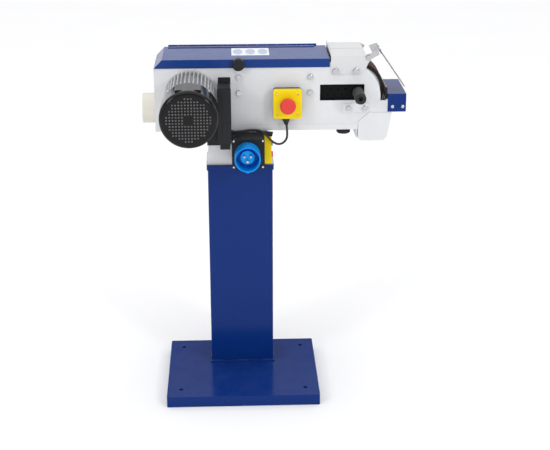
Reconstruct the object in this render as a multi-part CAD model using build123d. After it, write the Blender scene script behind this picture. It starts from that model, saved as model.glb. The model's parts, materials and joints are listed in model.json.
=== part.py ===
from build123d import *
import math
import os

# Pedestal belt grinder. Millimetres, +Z up, +X towards the contact wheel, +Y away from the motor side.
# Origin: centre of the four floor bolt holes, on the underside of the base.

# ---- driving dimensions ----
BASE_W, BASE_D, BASE_H = 430.0, 361.0, 31.5
SHEET = 3.0
THIN = 1.5
BASE_HOLE_X, BASE_HOLE_Y, BASE_HOLE_R = 176.0, 135.0, 6.0
SPACER_R = 11.0
COL_W, COL_D = 182.0, 130.0
FRONT = 36.6
HEAD_D = 168.4
BACK = FRONT + HEAD_D
FLANGE_TOP, FLANGE_T = 640.8, 14.0
HEAD_BOTTOM, HEAD_TOP = 741.0, 931.0
HEAD_LEFT = -232.0
NOSE_X, NOSE_Z, NOSE_R = 290.0, 833.0, 98.0
ARM_TOP, ARM_BOTTOM, ARM_END = 822.6, 789.5, 456.0
SLOT_X0, SLOT_X1, SLOT_Z0, SLOT_Z1 = 221.0, 343.0, 824.0, 869.0

MOTOR_X, MOTOR_Z = -132.5, 842.0
DRIVE_R = 78.0
WHEEL_X, WHEEL_Z = 325.5, 846.5
CONTACT_R = 73.5
BELT_Y0, BELT_Y1 = 70.0, 170.0
BELT_GAP, BELT_T = 0.3, 1.2
SHAFT_R = 12.0
AXLE_R = 10.0
RUN_FIT = 0.05
FIN_TIP_R, FIN_ROOT_R, STATOR_R, ROTOR_R = 71.0, 60.0, 52.0, 38.0
FIN_COUNT = 40
FRAME_Y0, FRAME_Y1 = -120.0, 24.0
COWL_R, COWL_T, COWL_Y0, COWL_Y1 = 76.0, 1.5, -215.8, -124.0
VENT_PITCH, VENT, VENT_FIELD_R, VENT_BLANK_R = 8.0, 4.4, 57.0, 11.5

HOOD_TOP, HOOD_LOW, HOOD_END = 941.5, 918.0, 247.0
HOOD_LEFT, HOOD_CHAMFER_X = -231.6, -209.0
HINGE_Y, HINGE_Z, HINGE_R, HINGE_PIN_R = 211.0, 941.5, 4.0, 1.6
KNOB_X, KNOB_Z, KNOB_R = -1.9, 930.0, 17.0

PORT_Y, PORT_Z, PORT_R, PORT_END = 120.0, 787.0, 42.0, -270.0
GUARD_X0, GUARD_TOP = 250.0, 948.0
PIVOT_X, PIVOT_Z, PIVOT_R = 352.3, 944.4, 3.0
SHIELD_TOP, SHIELD_FOOT = (379.0, 956.0), (448.0, 857.0)
SHIELD_Y0, SHIELD_Y1 = 40.0, 125.0
BLUE_X0, BLUE_X1, BLUE_Z0, BLUE_Z1 = 408.6, 459.0, 791.0, 841.0

BOX_X0, BOX_X1, BOX_Y0, BOX_Y1, BOX_Z0, BOX_Z1 = -22.8, 66.8, -28.0, 42.0, 650.5, 734.5
INLET_X, INLET_Z, INLET_R, INLET_Y0 = 19.5, 691.0, 35.5, -76.0
COVER_X1, COVER_Y0, COVER_Y1, COVER_Z0, COVER_Z1 = 87.0, 12.0, 38.0, 652.0, 729.0
BUTTON_Y, BUTTON_R = 25.0, 8.0
START_Z, STOP_Z = 708.0, 676.0
STOP_X0, STOP_X1, STOP_Z0, STOP_Z1, STOP_SPLIT = 91.0, 170.0, 782.7, 863.5, 18.0
STOP_X, STOP_HEAD_Z, MUSHROOM_R = 130.5, 823.0, 21.5
TRACK_X, TRACK_Y = 290.0, 70.0
SPRING_Y = 61.0

# Routes of the two cables: straight runs between these points, with tangent arcs.
STOP_CABLE_D = 6.0
STOP_CABLE = [
    (128.5, 16.0, 762.0), (130.5, 15.5, 743.0), (129.5, 13.0, 721.0), (112.0, 8.5, 707.5),
    (91.5, 4.5, 714.5), (76.0, 2.5, 733.5), (59.0, 2.0, 750.5), (36.0, 2.0, 753.5),
    (12.0, 2.0, 751.5), (-11.5, 2.0, 737.5),
]
MOTOR_CABLE_D = 7.0
MOTOR_CABLE = [
    (-16.0, 21.0, 742.0), (4.0, 21.5, 743.0), (27.0, 23.0, 746.0), (50.0, 24.5, 745.0),
    (68.0, 25.0, 738.6),
]

X_DIR, Y_DIR, Z_DIR = (1, 0, 0), (0, 1, 0), (0, 0, 1)
parts = {}


# ---- helpers ----
def block(x0, x1, y0, y1, z0, z1):
    """A box between two corners."""
    return Pos((x0 + x1) / 2, (y0 + y1) / 2, (z0 + z1) / 2) * Box(x1 - x0, y1 - y0, z1 - z0)


def rod(start, direction, radius, length):
    """A cylinder from a start point along a direction."""
    stand = (Align.CENTER, Align.CENTER, Align.MIN)
    return Plane(origin=start, z_dir=direction) * Cylinder(radius, length, align=stand)


def taper(start, direction, r0, r1, length):
    """A cone frustum from a start point along a direction."""
    stand = (Align.CENTER, Align.CENTER, Align.MIN)
    return Plane(origin=start, z_dir=direction) * Cone(r0, r1, length, align=stand)


def rod_y(x, z, radius, y0, y1):
    return rod((x, y0, z), Y_DIR, radius, y1 - y0)


def rod_z(x, y, radius, z0, z1):
    return rod((x, y, z0), Z_DIR, radius, z1 - z0)


def rod_x(y, z, radius, x0, x1):
    return rod((x0, y, z), X_DIR, radius, x1 - x0)


def ring_y(x, z, outer, inner, y0, y1):
    return rod_y(x, z, outer, y0, y1) - rod_y(x, z, inner, y0 - 1, y1 + 1)


def slab_y(points, y0, y1):
    """An XZ outline extruded along Y."""
    wire = Wire.make_polygon([(x, y0, z) for x, z in points], close=True)
    return extrude(Face(wire), amount=y1 - y0, dir=Y_DIR)


def slab_x(points, x0, x1):
    """A YZ outline extruded along X."""
    wire = Wire.make_polygon([(x0, y, z) for y, z in points], close=True)
    return extrude(Face(wire), amount=x1 - x0, dir=X_DIR)


def hex_prism(start, direction, across, length):
    """A hexagonal head, measured across its flats."""
    face = Plane(origin=start, z_dir=direction) * RegularPolygon(across / 2, 6, major_radius=False)
    return extrude(face, amount=length, dir=direction)


def soften(solid, axis, radius):
    """Round the edges of a box that run along one axis."""
    return fillet(solid.edges().filter_by(axis), radius)


def hex_bolt_y(x, z, face_y, shank_r, shank, washer_r):
    """A hex bolt with a washer, its head on the -Y side of face_y."""
    washer = rod_y(x, z, washer_r, face_y - 1.5, face_y)
    head = hex_prism((x, face_y - 1.5, z), (0, -1, 0), shank_r * 3.25, shank_r * 1.3)
    return washer + head + rod_y(x, z, shank_r, face_y - 1.6, face_y + shank)


def hex_bolt_down(x, y, face_z, shank_r, shank):
    head = hex_prism((x, y, face_z), Z_DIR, shank_r * 3.25, shank_r * 1.3)
    return head + rod_z(x, y, shank_r, face_z - shank, face_z + 1)


def dome_screw(point, direction, head_r, shank_r, shank):
    """A low domed screw: direction points out of the surface."""
    inward = tuple(-v for v in direction)
    head = taper(point, direction, head_r, head_r * 0.7, head_r * 0.45)
    socket = rod(point, direction, head_r * 0.3, head_r)
    return (head - socket) + rod(point, inward, shank_r, shank)


def drill_y(x, z, radius, y0, y1):
    return rod_y(x, z, radius, y0 - 2, y1 + 2)


# ---- pedestal ----
def base_tray():
    half_w, half_d = BASE_W / 2, BASE_D / 2
    tray = soften(block(-half_w, half_w, -half_d, half_d, 0, BASE_H), Axis.Z, 4)
    tray -= block(-half_w + SHEET, half_w - SHEET, -half_d + SHEET, half_d - SHEET, -1, BASE_H - SHEET)
    corners = [(sx * BASE_HOLE_X, sy * BASE_HOLE_Y) for sx in (-1, 1) for sy in (-1, 1)]
    for x, y in corners:  # spacer tubes keep the floor bolts from bending the folded tray
        tray += rod_z(x, y, SPACER_R, 0, BASE_H - SHEET)
    return tray - [rod_z(x, y, BASE_HOLE_R, -1, BASE_H + 1) for x, y in corners]


def column():
    top = FLANGE_TOP - FLANGE_T
    half = COL_W / 2
    shell = soften(block(-half, half, FRONT, FRONT + COL_D, BASE_H, top), Axis.Z, 5)
    hollow = block(-half + SHEET, half - SHEET, FRONT + SHEET, FRONT + COL_D - SHEET, BASE_H - 1, top + 1)
    foot = block(-half - 4, half + 4, FRONT - 5, FRONT + COL_D + 5, BASE_H, BASE_H + SHEET)
    return (shell + foot) - hollow


NECK_BOLTS = [(x, y) for x in (-60, 60) for y in (70, 140)]
HEAD_BOLTS = [(x, y) for x in (-45, 40) for y in (70, 140)]


def column_flange():
    half = COL_W / 2 + 3
    plate = block(-half, half, FRONT - 3, FRONT + COL_D + 3, FLANGE_TOP - FLANGE_T, FLANGE_TOP)
    plate = soften(plate, Axis.Z, 6)
    return plate - [rod_z(x, y, 5.0, FLANGE_TOP - 20, FLANGE_TOP + 1) for x, y in NECK_BOLTS]


def neck():
    y0, y1 = FRONT + 5.4, FRONT + COL_D
    outer = slab_y([(-93, FLANGE_TOP), (93, FLANGE_TOP), (75, HEAD_BOTTOM), (-82, HEAD_BOTTOM)], y0, y1)
    floor, roof = FLANGE_TOP + SHEET, HEAD_BOTTOM - SHEET
    inner = slab_y([(-89.4, floor), (89.4, floor), (71.6, roof), (-78.6, roof)], y0 + SHEET, y1 - SHEET)
    feet = [rod_z(x, y, 5.0, FLANGE_TOP - 1, floor + 1) for x, y in NECK_BOLTS]
    tops = [rod_z(x, y, 4.2, roof - 1, HEAD_BOTTOM + 1) for x, y in HEAD_BOLTS]
    return outer - inner - feet - tops


# ---- head ----
PLATEN_BOLTS = [(-1.5, 892.0), (-1.0, 848.2), (194.0, 891.0), (193.7, 848.0)]
MOTOR_BOLTS = [(MOTOR_X + sx * 42.5, MOTOR_Z + sz * 42.5) for sx in (-1, 1) for sz in (-1, 1)]
GUARD_BOLTS = [(262.7, 906.0), (319.0, 906.0)]
ADJUSTER_BOLTS = [(300.6, 802.2), (345.6, 802.2)]
BLUE_BOLTS = [(421.7, 805.0), (450.0, 805.0)]


def side_plate(y0, y1):
    """Outline shared by the front and back plates: box, round nose and the arm that holds the rest."""
    outline = [(HEAD_LEFT, HEAD_BOTTOM), (327, HEAD_BOTTOM), (327, 764), (357, ARM_BOTTOM),
               (ARM_END, ARM_BOTTOM), (ARM_END, ARM_TOP), (NOSE_X, ARM_TOP), (NOSE_X, HEAD_TOP),
               (-214, HEAD_TOP), (HEAD_LEFT, 914)]
    nose = rod_y(NOSE_X, NOSE_Z, NOSE_R, y0, y1) & block(NOSE_X, ARM_END, y0, y1, ARM_TOP, HEAD_TOP)
    return slab_y(outline, y0, y1) + nose


def front_plate():
    y0, y1 = FRONT, FRONT + SHEET
    plate = side_plate(y0, y1)
    slot = soften(block(SLOT_X0, SLOT_X1, y0 - 1, y1 + 1, SLOT_Z0, SLOT_Z1), Axis.Y, 2)
    hood_slot = block(KNOB_X - 4.8, KNOB_X + 4.8, y0 - 1, y1 + 1, KNOB_Z - 1, HEAD_TOP + 1)
    hood_slot += rod_y(KNOB_X, KNOB_Z, 4.8, y0 - 1, y1 + 1)
    holes = [drill_y(x, z, 4.0, y0, y1) for x, z in PLATEN_BOLTS + MOTOR_BOLTS + ADJUSTER_BOLTS]
    holes += [drill_y(x, z, 5.0, y0, y1) for x, z in GUARD_BOLTS]
    holes += [drill_y(x, z, 2.5, y0, y1) for x, z in BLUE_BOLTS]
    holes += [drill_y(MOTOR_X, MOTOR_Z, 34.0, y0, y1)]
    seam = block(HEAD_LEFT - 1, 322, y0 - 1, y0 + 0.4, 757.0, 758.0)
    return plate - slot - hood_slot - holes - seam


def back_plate():
    return side_plate(BACK - SHEET, BACK)


def body_wrapper():
    """Left end and bottom of the head, folded from one sheet, with a down-turned lip for the chute."""
    y0, y1 = FRONT + SHEET, BACK - SHEET
    end = block(HEAD_LEFT, HEAD_LEFT + SHEET, y0, y1, HEAD_BOTTOM, 914)
    floor = block(HEAD_LEFT, 326, y0, y1, HEAD_BOTTOM, HEAD_BOTTOM + SHEET)
    lip = block(323, 326, y0, y1, 716, HEAD_BOTTOM + SHEET)
    wrapper = end + floor + lip - rod_x(PORT_Y, PORT_Z, PORT_R - 3, HEAD_LEFT - 1, HEAD_LEFT + SHEET + 1)
    wrapper -= [rod_z(x, y, 4.2, HEAD_BOTTOM - 1, HEAD_BOTTOM + SHEET + 1) for x, y in HEAD_BOLTS]
    wrapper -= rod_z(TRACK_X, TRACK_Y, 4.3, HEAD_BOTTOM - 1, HEAD_BOTTOM + SHEET + 1)
    return wrapper - [rod_x(y, 730, 2.5, 320, 330) for y in (80, 160)]


def dust_port():
    tube = rod_x(PORT_Y, PORT_Z, PORT_R, PORT_END, HEAD_LEFT)
    tube = fillet(tube.edges().filter_by(GeomType.CIRCLE).sort_by(Axis.X)[0], 1.0)
    return tube - rod_x(PORT_Y, PORT_Z, PORT_R - 2.5, PORT_END - 1, HEAD_LEFT + 1)


def platen_bracket():
    y0 = FRONT + SHEET
    web = block(-20, 212, y0, y0 + 6, 836, 905)
    shelf = block(-20, 212, y0, 178, 895, 905)
    anchor = block(130, 136, y0, SPRING_Y + 8, 838, 855)
    guide = rod_x(SPRING_Y, WHEEL_Z, 4.0, 135, 269.5)
    bracket = web + shelf + anchor + guide
    return bracket - [drill_y(x, z, 4.0, y0, y0 + 6) for x, z in PLATEN_BOLTS]


def platen():
    return soften(block(-38, 222, 62, 178, 905, 917), Axis.Z, 3)


def graphite_pad():
    return block(-36, 220, 66, 174, 917, 919.4)


# ---- motor ----
def end_shields():
    y1 = FRONT
    front = rod_y(MOTOR_X, MOTOR_Z, 72, FRAME_Y1, y1) + rod_y(MOTOR_X, MOTOR_Z, 34, y1, 48)
    front -= rod_y(MOTOR_X, MOTOR_Z, 26, 30, 49)
    front -= rod_y(MOTOR_X, MOTOR_Z, 14, FRAME_Y1 - 1, 31)
    front -= [rod_y(x, z, 4.0, FRAME_Y1 + 3, y1 + 1) for x, z in MOTOR_BOLTS]
    rear_y = FRAME_Y0 - 12
    rear = rod_y(MOTOR_X, MOTOR_Z, COWL_R - COWL_T - 0.1, rear_y, FRAME_Y0)
    rear += rod_y(MOTOR_X, MOTOR_Z, 30, rear_y, FRAME_Y0 + 6)
    rear -= rod_y(MOTOR_X, MOTOR_Z, 23.5, rear_y + 3, FRAME_Y0 + 7)
    rear -= rod_y(MOTOR_X, MOTOR_Z, 14, rear_y - 1, rear_y + 4)
    return front, rear - cowl_screw_holes()


def motor_frame():
    """Finned housing: a toothed outline, one tooth for each cooling fin, round the stator's bore."""
    outline = []
    pitch = 2 * math.pi / FIN_COUNT
    for fin in range(FIN_COUNT):
        for share, radius in ((-0.26, FIN_ROOT_R), (-0.16, FIN_TIP_R), (0.16, FIN_TIP_R), (0.26, FIN_ROOT_R)):
            angle = (fin + share) * pitch
            outline.append((MOTOR_X + radius * math.cos(angle), MOTOR_Z + radius * math.sin(angle)))
    return slab_y(outline, FRAME_Y0, FRAME_Y1) - drill_y(MOTOR_X, MOTOR_Z, STATOR_R, FRAME_Y0, FRAME_Y1)


def stator():
    core = ring_y(MOTOR_X, MOTOR_Z, STATOR_R, ROTOR_R + 0.4, -92, -18)
    windings = ring_y(MOTOR_X, MOTOR_Z, STATOR_R - 3, ROTOR_R + 3, -106, -4)
    return core + windings


def motor_bearings():
    front = ring_y(MOTOR_X, MOTOR_Z, 26, SHAFT_R + RUN_FIT, 30, 45)
    rear = ring_y(MOTOR_X, MOTOR_Z, 23.5, SHAFT_R + RUN_FIT, FRAME_Y0 - 9, FRAME_Y0 + 5)
    return front, rear


COWL_SCREW_Y = -127.0
COWL_SCREW_ANGLES = (45, 135, 225, 315)


def around_motor(angle, radius):
    turn = math.radians(angle)
    return (MOTOR_X + radius * math.cos(turn), COWL_SCREW_Y, MOTOR_Z + radius * math.sin(turn))


def outward(angle):
    turn = math.radians(angle)
    return (math.cos(turn), 0, math.sin(turn))


def cowl_screw_holes():
    return [rod(around_motor(a, 64), outward(a), 2.0, 14) for a in COWL_SCREW_ANGLES]


def fan_cowl():
    """Pressed cup with a raised pad on top and a field of square vents round a blank centre."""
    cup = rod_y(MOTOR_X, MOTOR_Z, COWL_R, COWL_Y0, COWL_Y1)
    cup = fillet(cup.edges().filter_by(GeomType.CIRCLE).sort_by(Axis.Y)[0], 11)
    pad = soften(block(MOTOR_X - 34, MOTOR_X + 34, -196, -138, MOTOR_Z + 40, MOTOR_Z + COWL_R - 1), Axis.Y, 4)
    inner = rod_y(MOTOR_X, MOTOR_Z, COWL_R - COWL_T, COWL_Y0 + COWL_T, COWL_Y1 + 1)
    inner = fillet(inner.edges().filter_by(GeomType.CIRCLE).sort_by(Axis.Y)[0], 9.5)
    reach = int(VENT_FIELD_R / VENT_PITCH) + 1
    vents = []
    for i in range(-reach, reach + 1):
        for k in range(-reach, reach + 1):
            dx, dz = i * VENT_PITCH, k * VENT_PITCH
            if VENT_BLANK_R < math.hypot(dx, dz) < VENT_FIELD_R:
                x, z, half = MOTOR_X + dx, MOTOR_Z + dz, VENT / 2
                vents.append(block(x - half, x + half, COWL_Y0 - 2, COWL_Y0 + 3, z - half, z + half))
    return (cup + pad) - inner - vents - cowl_screw_holes()


def motor_rotor():
    shaft = rod_y(MOTOR_X, MOTOR_Z, SHAFT_R, -184, 174)
    return shaft + rod_y(MOTOR_X, MOTOR_Z, ROTOR_R, -98, -12)


def motor_fan():
    fan = rod_y(MOTOR_X, MOTOR_Z, 20, -180, -146) + rod_y(MOTOR_X, MOTOR_Z, 60, -149, -146)
    for turn in range(0, 360, 45):
        blade = block(14, 62, -180, -147, -1.5, 1.5)
        fan += Pos(MOTOR_X, 0, MOTOR_Z) * Rot(0, turn, 0) * blade
    return fan - drill_y(MOTOR_X, MOTOR_Z, SHAFT_R, -180, -146)


def drive_wheel():
    mid = (BELT_Y0 + BELT_Y1) / 2
    wheel = ring_y(MOTOR_X, MOTOR_Z, DRIVE_R, DRIVE_R - 9, BELT_Y0, BELT_Y1)
    wheel += rod_y(MOTOR_X, MOTOR_Z, DRIVE_R - 8, mid - 6, mid + 6)
    wheel += rod_y(MOTOR_X, MOTOR_Z, 24, BELT_Y0 + 4, BELT_Y1 - 4)
    return wheel - drill_y(MOTOR_X, MOTOR_Z, SHAFT_R, BELT_Y0, BELT_Y1)


CAP_X0, CAP_X1, CAP_Y0, CAP_Y1, CAP_Z0, CAP_Z1 = -60.0, -24.0, -60.0, -6.0, 731.0, 886.0


def capacitor_box():
    shell = soften(block(CAP_X0, CAP_X1, CAP_Y0, CAP_Y1, CAP_Z0, CAP_Z1), Axis.Y, 3)
    rib = block(CAP_X0 + 13, CAP_X1 + 0.8, CAP_Y0 - 1.2, CAP_Y0 + 2, CAP_Z0 + 2, CAP_Z1 - 2)
    seam = block(CAP_X0 - 1, CAP_X1 + 2, CAP_Y0 - 2, CAP_Y0 - 0.4, 789.4, 790.6)
    inside = block(CAP_X0 + 2.5, CAP_X1 - 2.5, CAP_Y0 + 2.5, CAP_Y1 + 1, CAP_Z0 + 2.5, CAP_Z1 - 2.5)
    return (shell + rib) - seam - inside


def capacitors():
    x, y = (CAP_X0 + CAP_X1) / 2, (CAP_Y0 + CAP_Y1) / 2
    return rod_z(x, y, 15, CAP_Z0 + 4, 803), rod_z(x, y, 15, 809, CAP_Z1 - 4)


def terminal_box():
    """Box on the motor's side, hollowed round the frame, with the plate that carries the capacitors."""
    box = block(-90, -26, CAP_Y1 + 4, 34, 711, 800)
    box -= rod_y(MOTOR_X, MOTOR_Z, 72.3, CAP_Y1, 36)
    plate = block(-58, CAP_X1, CAP_Y1, CAP_Y1 + 4, 716, 902)
    tab = block(-54, -27, -52, CAP_Y1 + 4, 714, 718) + block(-54, -27, -52, -48, 714, CAP_Z0)
    return box + plate + tab


# ---- switch box, inlet and cables ----
BOX_SCREWS = [(x, z) for x in (BOX_X0 + 5, BOX_X1 - 5) for z in (BOX_Z0 + 5, BOX_Z1 - 5)]
STOP_SCREWS = [(x, z) for x in (STOP_X0 + 10.5, STOP_X1 - 10.5) for z in (STOP_Z0 + 10.5, STOP_Z1 - 10.5)]


def switch_box():
    shell = soften(block(BOX_X0, BOX_X1, BOX_Y0, BOX_Y1, BOX_Z0, BOX_Z1), Axis.Y, 5)
    inside = block(BOX_X0 + SHEET, BOX_X1 - SHEET, BOX_Y0 + SHEET, BOX_Y1 + 1, BOX_Z0 + SHEET, BOX_Z1 - SHEET)
    corners = block(BOX_X0, BOX_X1, BOX_Y0, BOX_Y1, BOX_Z0, BOX_Z1)
    corners &= Compound([rod_y(x, z, 6, BOX_Y0, BOX_Y0 + 16) for x, z in BOX_SCREWS])
    lid_line = block(BOX_X0 - 1, BOX_X1 + 1, -16.5, -15.5, BOX_Z1 - 0.5, BOX_Z1 + 1)
    box = shell - inside - rod_y(INLET_X, INLET_Z, 30, BOX_Y0 - 1, BOX_Y0 + 4) - lid_line
    for x, z in BOX_SCREWS:
        box += rod_y(x, z, 5.0, BOX_Y0 + 1, BOX_Y0 + 14)
    return box - [rod_y(x, z, 1.8, BOX_Y0 - 1, BOX_Y0 + 10) for x, z in BOX_SCREWS]


def inlet_collar():
    """Round shroud of the mains inlet, open to the front, with a keyway rib under it."""
    collar = ring_y(INLET_X, INLET_Z, INLET_R, INLET_R - 4, INLET_Y0, BOX_Y0)
    collar += rod_y(INLET_X, INLET_Z, INLET_R, BOX_Y0 - 4, BOX_Y0)
    collar += rod_y(INLET_X, INLET_Z, 29.8, BOX_Y0 - 1, BOX_Y0 + 12)
    collar += block(INLET_X - 4, INLET_X + 4, INLET_Y0, BOX_Y0, INLET_Z - INLET_R - 2, INLET_Z - INLET_R + 2)
    return collar


def inlet_core():
    core = rod_y(INLET_X, INLET_Z, 19, -54, BOX_Y0 - 4)
    return core - [rod(pin, Y_DIR, r, 30) for pin, r in pin_seats(-55)]


def pin_seats(y):
    return (((INLET_X, y, INLET_Z - 9), 3.6), ((INLET_X - 9, y, INLET_Z + 5), 2.8),
            ((INLET_X + 9, y, INLET_Z + 5), 2.8))


def inlet_pins():
    return [rod(pin, Y_DIR, r, 34) for pin, r in pin_seats(-66.0)]


def switch_cover():
    cover = soften(block(BOX_X1, COVER_X1, COVER_Y0, COVER_Y1, COVER_Z0, COVER_Z1), Axis.X, 3)
    inside = block(BOX_X1 - 1, COVER_X1 - 2.5, COVER_Y0 + 2.5, COVER_Y1 - 2.5, COVER_Z0 + 2.5, COVER_Z1 - 2.5)
    return cover - inside - [rod_x(BUTTON_Y, z, BUTTON_R + 0.4, BOX_X1, COVER_X1 + 1) for z in (START_Z, STOP_Z)]


def push_button(z, proud):
    cap = rod_x(BUTTON_Y, z, BUTTON_R, 76, COVER_X1 + proud)
    cap = fillet(cap.edges().filter_by(GeomType.CIRCLE).sort_by(Axis.X)[-1], 1.2)
    return cap + rod_x(BUTTON_Y, z, BUTTON_R + 2, 79, 81)


def estop_base():
    base = soften(block(STOP_X0 + 1, STOP_X1 - 1, STOP_SPLIT, FRONT, STOP_Z0 + 1, STOP_Z1 - 1), Axis.Y, 7)
    return base - block(STOP_X0 + 5, STOP_X1 - 5, STOP_SPLIT - 1, FRONT - 3, STOP_Z0 + 5, STOP_Z1 - 5)


def estop_lid():
    lid = soften(block(STOP_X0, STOP_X1, 0, STOP_SPLIT, STOP_Z0, STOP_Z1), Axis.Y, 7)
    lid = fillet(lid.faces().sort_by(Axis.Y)[0].edges(), 2.5)
    lid -= block(STOP_X0 + 14, STOP_X1 - 14, 4, STOP_SPLIT + 1, STOP_Z0 + 14, STOP_Z1 - 14)
    lid -= rod_y(STOP_X, STOP_HEAD_Z, 11.4, -1, 6)
    return lid - [rod_y(x, z, 1.8, -1, 12) for x, z in STOP_SCREWS]


def estop_stem():
    return rod_y(STOP_X, STOP_HEAD_Z, 11, -8.5, 26) + rod_y(STOP_X, STOP_HEAD_Z, 5, -20, -8)


def estop_mushroom():
    """Domed palm button on a short skirt."""
    head = rod_y(STOP_X, STOP_HEAD_Z, MUSHROOM_R, -28, -14)
    head = fillet(head.edges().filter_by(GeomType.CIRCLE).sort_by(Axis.Y)[0], 6)
    head += taper((STOP_X, -14, STOP_HEAD_Z), Y_DIR, MUSHROOM_R, 14, 5)
    return head - rod_y(STOP_X, STOP_HEAD_Z, 5 + RUN_FIT, -20.5, -8)


def small_screws():
    """Domed screws of the switch box, stop box, tool guard, chute and fan cowl."""
    front = (0, -1, 0)
    box = [dome_screw((x, BOX_Y0, z), front, 3.6, 1.8, 9) for x, z in BOX_SCREWS]
    stop = [dome_screw((x, 0, z), front, 3.6, 1.8, 9) for x, z in STOP_SCREWS]
    blue = [dome_screw((x, FRONT - 2, z), front, 5.5, 2.5, 8) for x, z in BLUE_BOLTS]
    chute = [dome_screw((329.6, y, 730), X_DIR, 4.0, 2.5, 8) for y in (80, 160)]
    cowl = [dome_screw(around_motor(a, COWL_R), outward(a), 4.0, 2.0, 9) for a in COWL_SCREW_ANGLES]
    return box + stop + blue + chute + cowl


def cable_glands():
    """Tapered strain reliefs: under the stop box, on both switch boxes and on the terminal box."""
    stop = gland(STOP_CABLE[0], STOP_CABLE[1], 14.5, 4.2, 25) & block(100, 150, 0, 40, 700, STOP_Z0)
    left = gland(STOP_CABLE[-1], STOP_CABLE[-2], 7.5, 4.2, 14) & block(BOX_X0, 0, -20, 30, BOX_Z1, 760)
    motor = gland(MOTOR_CABLE[0], MOTOR_CABLE[1], 7, 4.8, 12) & block(-26, 0, 0, 40, 720, 760)
    right = gland(MOTOR_CABLE[-1], MOTOR_CABLE[-2], 9, 4.8, 22) & block(BOX_X1, 110, 0, 50, COVER_Z1, 760)
    return stop, left, motor, right


def gland(cable_end, cable_next, root_r, tip_r, length):
    """A taper whose tip meets a cable's end face squarely."""
    tip = Vector(*cable_end)
    way = (tip - Vector(*cable_next)).normalized()
    return taper(tuple(tip), tuple(way), tip_r, root_r, length)


def cable(points, diameter, name):
    """Tube along straight runs joined by tangent arcs, each as large as its two runs allow."""
    stops = [Vector(*p) for p in points]
    radii = []
    for before, here, after in zip(stops, stops[1:], stops[2:]):
        run_in, run_out = here - before, after - here
        half_turn = math.radians(run_in.get_angle(run_out)) / 2
        radii.append(0.45 * min(run_in.length, run_out.length) / math.tan(half_turn))
    path = FilletPolyline(*points, radius=radii)
    start = Plane(origin=points[0], z_dir=stops[1] - stops[0])
    tube = sweep(start * Circle(diameter / 2), path=path)
    ideal = math.pi * diameter ** 2 / 4 * path.length
    print(name, "radii", [round(r, 1) for r in radii], "length", round(path.length, 1),
          "volume share", round(tube.volume / ideal, 4))
    return tube


# ---- belt, contact wheel and its carriage ----
def belt_loop(grow, y0, y1):
    """Solid inside a belt round both wheels: two discs and the band between their tangent points."""
    big, small = DRIVE_R + grow, CONTACT_R + grow
    dx, dz = WHEEL_X - MOTOR_X, WHEEL_Z - MOTOR_Z
    span, lean = math.hypot(dx, dz), math.atan2(dz, dx)
    spread = math.acos((big - small) / span)
    corners = []
    for side in (1, -1):
        angle = lean + side * spread
        first = (MOTOR_X + big * math.cos(angle), MOTOR_Z + big * math.sin(angle))
        second = (WHEEL_X + small * math.cos(angle), WHEEL_Z + small * math.sin(angle))
        corners += [first, second] if side > 0 else [second, first]
    band = slab_y(corners, y0, y1)
    return band + rod_y(MOTOR_X, MOTOR_Z, big, y0, y1) + rod_y(WHEEL_X, WHEEL_Z, small, y0, y1)


def belt():
    outer = belt_loop(BELT_GAP + BELT_T, BELT_Y0, BELT_Y1)
    return outer - belt_loop(BELT_GAP, BELT_Y0 - 1, BELT_Y1 + 1)


WHEEL_BEARINGS = ((76, 90), (150, 164))
TYRE_T = 9.0


def contact_wheel():
    core = rod_y(WHEEL_X, WHEEL_Z, CONTACT_R - TYRE_T, BELT_Y0 + 1, BELT_Y1 - 1)
    for y0, y1 in ((BELT_Y0, BELT_Y0 + 34), (BELT_Y1 - 34, BELT_Y1)):
        core -= ring_y(WHEEL_X, WHEEL_Z, CONTACT_R - TYRE_T - 7, 29, y0, y1)
    core -= [rod_y(WHEEL_X, WHEEL_Z, 23.5, y0, y1) for y0, y1 in WHEEL_BEARINGS]
    core -= rod_y(WHEEL_X, WHEEL_Z, 20, BELT_Y0, BELT_Y0 + 6.1) + rod_y(WHEEL_X, WHEEL_Z, 20, BELT_Y1 - 6.1, BELT_Y1)
    return core - rod_y(WHEEL_X, WHEEL_Z, 14, BELT_Y0, BELT_Y1)


def contact_tyre():
    return ring_y(WHEEL_X, WHEEL_Z, CONTACT_R, CONTACT_R - TYRE_T, BELT_Y0, BELT_Y1)


def wheel_bearings():
    return [ring_y(WHEEL_X, WHEEL_Z, 23.5, AXLE_R + RUN_FIT, y0, y1) for y0, y1 in WHEEL_BEARINGS]


def carriage():
    """Sliding plate behind the slot, with the contact wheel's axle and the lug that the spring pushes."""
    y0 = FRONT + SHEET + 6.6
    plate = soften(block(208, 352, y0, y0 + 5, 815.5, 879.5), Axis.Y, 3)
    plate -= [drill_y(x, 853, 2.5, y0, y0 + 5) for x in (252, 272, 292)]
    plate -= [drill_y(x, 838, 1.8, y0, y0 + 5) for x in (243, 262, 281)]
    lug = block(262, 268, y0 + 2, SPRING_Y + 8.4, 838, 855) - rod_x(SPRING_Y, WHEEL_Z, 4.3, 260, 270)
    axle = rod_y(WHEEL_X, WHEEL_Z, AXLE_R, y0, 186) + rod_y(WHEEL_X, WHEEL_Z, 15, y0 + 4, 72)
    stud = rod_y(WHEEL_X, WHEEL_Z, 8, -22, y0 + 1)
    return plate + lug + axle + stud


def tension_grip():
    """Rubber sleeve on the carriage's stud, with finger rings and a hexagon socket in its end."""
    grip = rod_y(WHEEL_X, WHEEL_Z, 15.4, -39.7, FRONT - 1)
    grip = fillet(grip.edges().filter_by(GeomType.CIRCLE).sort_by(Axis.Y)[0], 2.5)
    for y in (-24, -9, 6, 21):
        grip -= ring_y(WHEEL_X, WHEEL_Z, 16.5, 14.6, y, y + 2)
    grip -= rod_y(WHEEL_X, WHEEL_Z, 8, -22, FRONT)
    return grip - hex_prism((WHEEL_X, -41, WHEEL_Z), Y_DIR, 13, 13)


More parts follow.
